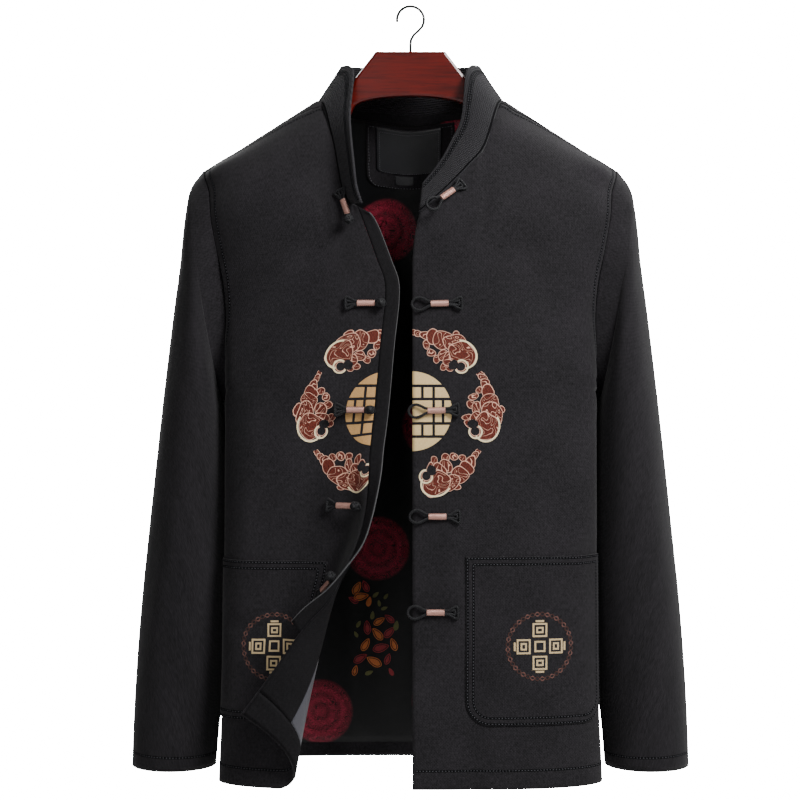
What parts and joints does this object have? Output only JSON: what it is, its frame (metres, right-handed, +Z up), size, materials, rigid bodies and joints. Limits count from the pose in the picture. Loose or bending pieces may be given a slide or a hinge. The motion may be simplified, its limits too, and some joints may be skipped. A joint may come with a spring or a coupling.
{
  "type": "tang jacket on a hanger",
  "caption": "Lined tang jacket with a stand collar, frog fastenings, patch pockets and one turned-back front corner, hung open on a flat wooden hanger with a wire hook.",
  "frame": {"origin": "inside top of the hanger's hook, where it rests on what holds it", "axes": "+Z up, +X toward the wearer's left side, -Y out of the jacket's front"},
  "size_m": [0.623, 0.2495, 0.8562],
  "materials": {
    "jacket_cloth": "matte charcoal wool-like weave",
    "collar_cloth": "matte, close rows of stitching",
    "lining_satin": "satin with woven dark red roundels",
    "label_satin": "plain satin ribbon",
    "frog_cord": "braided cord",
    "frog_thread": "wound copper coloured thread",
    "hanger_wood": "gloss varnish, dark red",
    "hook_wire": "black wire"
  },
  "bodies": {
    "root": {"back": "jacket_cloth", "front_left": "jacket_cloth", "front_right": "jacket_cloth", "sleeve_left": "jacket_cloth", "sleeve_right": "jacket_cloth", "collar": "collar_cloth", "underlap_strip": "jacket_cloth", "facing_right": "jacket_cloth", "hem_band_right": "jacket_cloth", "neck_facing": "jacket_cloth", "pocket_left": "jacket_cloth", "pocket_right": "jacket_cloth", "lining_right": "lining_satin", "lining_back": "lining_satin", "label": "label_satin", "size_tab": "label_satin", "hanger": "hanger_wood", "hook": "hook_wire", "frog_loop_1": "frog_cord", "wrap_loop_1": "frog_thread", "frog_knot_1": "frog_cord", "wrap_knot_1": "frog_thread", "frog_loop_2": "frog_cord", "wrap_loop_2": "frog_thread", "frog_knot_2": "frog_cord", "wrap_knot_2": "frog_thread", "frog_loop_3": "frog_cord", "wrap_loop_3": "frog_thread", "frog_knot_3": "frog_cord", "wrap_knot_3": "frog_thread", "frog_loop_4": "frog_cord", "wrap_loop_4": "frog_thread", "frog_knot_4": "frog_cord", "wrap_knot_4": "frog_thread", "frog_loop_5": "frog_cord", "wrap_loop_5": "frog_thread", "frog_knot_5": "frog_cord", "wrap_knot_5": "frog_thread"}
  },
  "joints": []
}
